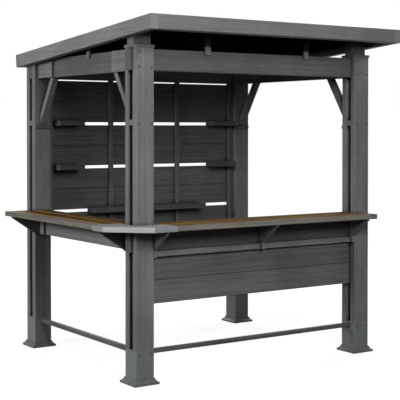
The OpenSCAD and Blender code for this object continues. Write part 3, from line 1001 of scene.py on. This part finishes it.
@dataclass
class Posts(SubAssembly):
    """Four posts of two boards and a core, with knee braces and bolts.

    The bolts go through the front posts' outer faces and the rear posts' back
    faces. One more shows on the inner face of each rear post, and one on the
    end block of the left beam beside the near post.

    Attributes:
        bolts: The bolts.
        insets: The distances of the two bolts of a pair from the left edge.
        heights: The heights of the pairs of bolts.
        top_height: The height of the single bolt under the cap of a front post.
        inner: The distance of a rear post's inner bolt from its left edge, and its height.
        block: The block bolt's distance behind the front of the near post, and its height.
    """

    bolts: Fixings = Fixings("post_bolts", "bolt", radius=0.009, proud=0.005, seed=5)
    insets: tuple[float, float] = (0.023, 0.117)
    heights: tuple[float, ...] = (0.194, 0.88, 1.678, 2.039)
    top_height: float = 2.135
    inner: tuple[float, float] = (0.018, 2.039)
    block: tuple[float, float] = (0.271, 2.139)

    def dress(self, model: Model) -> None:
        """Stains the posts and what stands upright with them.

        Args:
            model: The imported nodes.
        """
        model.stain(Slot.FRAME, POST_STAIN, Grain.UP, "front_left_post", "front_right_post", "rear_left_post")
        # Painted shade: the rear right post takes the darker copy of the post stain.
        model.stain(Slot.FRAME, SHADED_POST_STAIN, Grain.UP, "rear_right_post")
        model.stain(Slot.FRAME, POST_STAIN, Grain.UP, "post_mid_fillers", "knee_braces", "front_post_risers")
        model.stain(Slot.FRAME, SHADOWED_STRUT_STAIN, Grain.UP, "roof_struts")
        # Painted shade: the post cores are nearly black to stand for the dark slots.
        model.stain(Slot.FRAME, SHADED_CORE_STAIN, Grain.UP, "post_cores")

    def marks(self) -> list[Mark]:
        """Lists where the bolts sit and which way they face.

        Returns:
            Each bolt's place and facing.
        """
        found: list[Mark] = []
        pairs = [(x, z) for z in self.heights for x in self.insets]
        for post in ("front_left_post", "front_right_post"):
            low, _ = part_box(post)
            spots = [*pairs, (self.insets[0], self.top_height)]
            found += [((low.x + x, low.y, z), FORWARD) for x, z in spots]
        for post in ("rear_left_post", "rear_right_post"):
            low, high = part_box(post)
            found.append(((low.x + self.inner[0], low.y, self.inner[1]), FORWARD))
            found += [((low.x + x, high.y, z), BACKWARD) for x, z in pairs]
        near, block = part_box("front_left_post")[0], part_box("beam_end_blocks")[0]
        found.append(((block.x, near.y + self.block[0], self.block[1]), LEFTWARD))
        return found

    def build(self, model: Model, spread: NodeTree) -> None:
        """Builds every bolt."""
        self.bolts.build(model, spread, self.marks())


class Beams(SubAssembly):
    """The beams, aprons and rails between the posts."""

    def dress(self, model: Model) -> None:
        """Stains the beams, their end blocks and the rails.

        Args:
            model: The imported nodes.
        """
        # The beams and rails take a darker copy of the post stain as painted shade.
        model.stain(Slot.FRAME, SHADED_BEAM_STAIN, Grain.ACROSS, "front_beam", "rear_beam", "front_foot_rail")
        model.stain(Slot.FRAME, SHADED_BEAM_STAIN, Grain.BACK, "left_beam", "right_beam", "left_foot_rail")
        model.stain(Slot.FRAME, POST_STAIN, Grain.BACK, "beam_end_blocks", "left_apron")
        model.stain(Slot.FRAME, POST_STAIN, Grain.ACROSS, "front_ledger")
        # Painted shade: the front apron and the brace seats under the bar take the darker wall stain.
        model.stain(Slot.FRAME, SHADED_WALL_STAIN, Grain.ACROSS, "front_apron", "brace_seats")


@dataclass
class Roof(SubAssembly):
    """The sloping roof: rafters, deck and fascias, with screws in the side fascias.

    Attributes:
        screws: The screws.
        fascia_h: The height of a fascia.
        places: The distances of the screws behind the front face of the posts.
    """

    screws: Fixings = Fixings("fascia_screws", "screw", radius=0.006, proud=0.002, seed=9)
    fascia_h: float = 0.095
    places: tuple[float, ...] = (0.0715, 0.722, 1.363)

    def dress(self, model: Model) -> None:
        """Stains the roof's timbers.

        Args:
            model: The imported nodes.
        """
        model.stain(Slot.FRAME, FRONT_STAIN, Grain.ACROSS, "front_fascia", "rear_fascia")
        # Painted light: the side fascias take the lighter copy of the fascia stain.
        model.stain(Slot.FRAME, LIT_SIDE_STAIN, Grain.FALL, "left_fascia", "right_fascia")
        # The rafters and the deck carry the painted shade of the roof's underside.
        model.stain(Slot.FRAME, SHADED_DECK_STAIN, Grain.FALL, "rafters")
        model.stain(Slot.WALL, SHADED_DECK_STAIN, Grain.ACROSS, "roof_deck")

    def marks(self) -> list[Mark]:
        """Lists where the screws sit, along the middle of each side fascia.

        Returns:
            Each screw's place and facing.
        """
        found: list[Mark] = []
        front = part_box("front_left_post")[0].y
        for name, out in (("left_fascia", -1.0), ("right_fascia", 1.0)):
            low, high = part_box(name)
            start_y = low.y + self.fascia_h / 2 * math.sin(ROOF_FALL)
            start_z = high.z - self.fascia_h / 2 * math.cos(ROOF_FALL)
            x = low.x if out < 0 else high.x
            for place in self.places:
                y = front + place
                found.append(((x, y, start_z - (y - start_y) * math.tan(ROOF_FALL)), (out, 0.0, 0.0)))
        return found

    def build(self, model: Model, spread: NodeTree) -> None:
        """Builds the screw heads."""
        self.screws.build(model, spread, self.marks())


class Bar(SubAssembly):
    """The bar top on its brackets: oiled boards inside a stained border."""

    def dress(self, model: Model) -> None:
        """Oils the boards and stains the border, the corner and the brackets.

        Args:
            model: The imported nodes.
        """
        model.stain(Slot.BAR, BAR_OIL, Grain.ACROSS, "front_bar_slats")
        model.stain(Slot.BAR, BAR_OIL, Grain.BACK, "left_bar_slats")
        model.stain(Slot.EDGE, EDGE_STAIN, Grain.ACROSS, "front_bar_border")
        model.stain(Slot.EDGE, SIDE_EDGE_STAIN, Grain.BACK, "left_bar_border", "bar_end_boards")
        model.stain(Slot.EDGE, CORNER_STAIN, Grain.ACROSS, "bar_corner")
        model.stain(Slot.FRAME, POST_STAIN, Grain.BACK, "front_bar_brackets")
        # Painted shade: the left bar brackets under the bar take the darker wall stain.
        model.stain(Slot.FRAME, SHADED_WALL_STAIN, Grain.ACROSS, "left_bar_brackets")


@dataclass
class Skirt(SubAssembly):
    """The boarded skirt under the front of the bar.

    Attributes:
        boards: The boards.
    """

    boards: BoardPanel = BoardPanel("front_skirt", "skirt_boards", Slot.FRAME, SHADED_SKIRT_STAIN, seed=45)

    def dress(self, model: Model) -> None:
        """Stains the stiles behind the boards."""
        model.stain(Slot.FRAME, SHADED_BEAM_STAIN, Grain.UP, "skirt_stiles")

    def build(self, model: Model, spread: NodeTree) -> None:
        """Builds the boards."""
        self.boards.build(model, spread)


@dataclass
class RearWall(SubAssembly):
    """The boarded wall at the back, with its stiles, battens and shelves.

    Attributes:
        boards: The boards.
    """

    boards: BoardPanel = BoardPanel(
        "rear_wall_boards",
        "wall_boards",
        Slot.WALL,
        SHADED_WALL_STAIN,
        seed=23,
        joint=0.002,
        lip=0.007,
        crest=0.004,
    )

    def dress(self, model: Model) -> None:
        """Stains the stiles, the battens and the shelves."""
        model.stain(Slot.WALL, SHADED_BEAM_STAIN, Grain.UP, "wall_stiles", "wall_battens")
        model.stain(Slot.WALL, SHADED_SHELF_STAIN, Grain.ACROSS, "left_shelves", "right_shelves", "centre_shelf")

    def build(self, model: Model, spread: NodeTree) -> None:
        """Builds the boards."""
        self.boards.build(model, spread)


class Feet(SubAssembly):
    """The closed feet of the posts, their trims, and the caps of the front posts."""

    def dress(self, model: Model) -> None:
        """Coats the feet, the trims and the caps.

        Args:
            model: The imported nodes.
        """
        model.coat(FOOT_COAT, "post_foot_fillers")
        model.coat(TRIM_COAT, "post_base_trims")
        model.coat(CAP_COAT, "front_post_caps")


@dataclass(frozen=True)
class Lamp:
    """One soft lamp, set from the front left edge of the near post.

    Attributes:
        name: The lamp's name.
        spot: Where it hangs.
        target: What it points at.
        power: Its power, in watts.
        wide: Its width.
        tall: Its height.
    """

    name: str
    spot: Point
    target: Point
    power: float
    wide: float
    tall: float

    def build(self, corner: Vector) -> None:
        """Hangs the lamp.

        Args:
            corner: The front left edge of the near post, on the floor.
        """
        light = bpy.data.lights.new(self.name, "AREA")
        light.shape = "RECTANGLE"
        light.energy, light.size, light.size_y = self.power, self.wide, self.tall
        lamp = bpy.data.objects.new(self.name, light)
        lamp.location = corner + Vector(self.spot)
        lamp.rotation_mode = "QUATERNION"
        lamp.rotation_quaternion = (Vector(self.target) - Vector(self.spot)).to_track_quat("-Z", "Y")
        bpy.context.scene.collection.objects.link(lamp)


@dataclass
class Studio:
    """A white room: a pale floor, four broad soft lamps and a little light all round.

    Attributes:
        lamps: The lamps.
        ambient: The level of the light from all round.
        reach: How far the floor reaches from the middle, in metres.
        floor_glow: How white the floor looks, by the distance from the middle.
        floor_grey: The level of the lamps' light that the eye sees on the floor.
        bounce_grey: The level of the light that the floor throws back at the timber.
    """

    lamps: tuple[Lamp, ...] = (
        Lamp("front", (-0.3, -3.9, 3.15), (-0.3, 0.3, 0.9), power=185.0, wide=2.2, tall=1.9),
        Lamp("left", (-6.0, 0.9, 2.75), (0.0, 0.7, 1.4), power=335.0, wide=3.0, tall=1.2),
        Lamp("back", (2.6, 7.0, 3.4), (1.0, 1.5, 1.2), power=200.0, wide=3.0, tall=1.0),
        Lamp("right", (7.2, 3.4, 3.2), (2.0, 0.9, 1.2), power=200.0, wide=3.0, tall=1.0),
    )
    ambient: float = 0.12
    reach: float = 40.0
    floor_glow: Ramp = (1.6, 4.0, 0.86, 1.0)
    floor_grey: float = 0.2
    bounce_grey: float = 0.02

    def build(self, corner: Vector) -> None:
        """Builds the floor, the lamps and the surroundings.

        Args:
            corner: The front left edge of the near post, on the floor.
        """
        self.floor()
        for lamp in self.lamps:
            lamp.build(corner)
        self.surroundings()
        log.info("built the studio")

    def floor(self) -> None:
        """Lays the floor, white to the eye and dull to the light that bounces."""
        mesh = bpy.data.meshes.new("floor")
        turns = ((-1, -1), (1, -1), (1, 1), (-1, 1))
        mesh.from_pydata([(x * self.reach, y * self.reach, 0) for x, y in turns], [], [(0, 1, 2, 3)])
        floor = bpy.data.objects.new("floor", mesh)
        bpy.context.scene.collection.objects.link(floor)
        material, sheet, surface = new_material("floor_white")
        sheet.tree.nodes.remove(surface)
        away = sheet.add("ShaderNodeVectorMath", {"operation": "LENGTH"})
        sheet.put(away.inputs[0], sheet.place())
        white = sheet.add("ShaderNodeEmission", Strength=sheet.band(away.outputs["Value"], *self.floor_glow))
        lit, dull = [
            sheet.add("ShaderNodeBsdfDiffuse", Color=(grey, grey, grey, 1.0))
            for grey in (self.floor_grey, self.bounce_grey)
        ]
        both = sheet.add("ShaderNodeAddShader")
        sheet.put(both.inputs[0], white.outputs[0])
        sheet.put(both.inputs[1], lit.outputs[0])
        mix = sheet.add("ShaderNodeMixShader")
        for target, value in zip(mix.inputs, (self.seen(sheet), dull.outputs[0], both.outputs[0])):
            sheet.put(target, value)
        sheet.put(sheet.tree.nodes["Material Output"].inputs[0], mix.outputs[0])
        mesh.materials.append(material)

    def seen(self, sheet: Sheet) -> Socket:
        """Finds the rays that reach the eye straight, by a mirror or through glass.

        Args:
            sheet: The nodes of the floor or of the surroundings.

        Returns:
            A socket that is 1 on those rays and 0 on all others.
        """
        path = sheet.add("ShaderNodeLightPath")
        mirrored = sheet.maths("ADD", path.outputs["Is Glossy Ray"], path.outputs["Is Transmission Ray"])
        return sheet.maths("ADD", path.outputs["Is Camera Ray"], mirrored, clamp=True)

    def surroundings(self) -> None:
        """Makes the surroundings white to the eye and dim to the timber."""
        world = bpy.data.worlds.new("room")
        world.use_nodes = True
        bpy.context.scene.world = world
        sheet = Sheet(world.node_tree)
        back = world.node_tree.nodes["Background"]
        back.inputs["Color"].default_value = (1.0, 1.0, 1.0, 1.0)
        sheet.put(back.inputs["Strength"], sheet.band(self.seen(sheet), 0.0, 1.0, self.ambient, 1.0))
        bpy.context.scene.view_settings.view_transform = "Standard"


@dataclass
class Viewpoint:
    """The photograph's camera, set from the front left edge of the near post.

    Attributes:
        offset: The camera's place from that edge, on the floor.
        heading: The turn from straight back towards the right, in radians.
        dip: How far it looks down, in radians.
        lens: The focal length, in millimetres.
        sensor: The width of the sensor, in millimetres.
        drop: The downward shift of the picture, as a share of its width.
        clip: The nearest and the farthest distance that it sees.
    """

    offset: Point = (-3.5364, -5.9721, 1.6569)
    heading: float = 0.5932
    dip: float = 0.0176
    lens: float = 98.2
    sensor: float = 36.0
    drop: float = -0.13525
    clip: tuple[float, float] = (0.1, 200.0)

    def build(self, corner: Vector) -> None:
        """Sets up the camera.

        Args:
            corner: The front left edge of the near post, on the floor.
        """
        data = bpy.data.cameras.new("camera")
        data.lens, data.sensor_width = self.lens, self.sensor
        data.shift_y = self.drop
        data.clip_start, data.clip_end = self.clip
        camera = bpy.data.objects.new("camera", data)
        level = math.cos(self.dip)
        ahead = Vector((math.sin(self.heading) * level, math.cos(self.heading) * level, -math.sin(self.dip)))
        camera.location = corner + Vector(self.offset)
        camera.rotation_mode = "QUATERNION"
        camera.rotation_quaternion = ahead.to_track_quat("-Z", "Y")
        bpy.context.scene.collection.objects.link(camera)
        bpy.context.scene.camera = camera
        log.info("set the camera")


def main() -> None:
    """Dresses the frame, builds the added pieces and sets up the picture."""
    logging.basicConfig(level=logging.INFO, format="%(message)s")
    for item in list(bpy.data.objects):
        bpy.data.objects.remove(item)
    model = Model()
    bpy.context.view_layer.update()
    spread = spread_tree()
    for part in (Posts(), Beams(), Roof(), Bar(), Skirt(), RearWall(), Feet()):
        part.dress(model)
        part.build(model, spread)
    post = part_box("front_left_post")[0]
    corner = Vector((post.x, post.y, 0.0))
    Studio().build(corner)
    Viewpoint().build(corner)


if __name__ == "__main__":
    main()
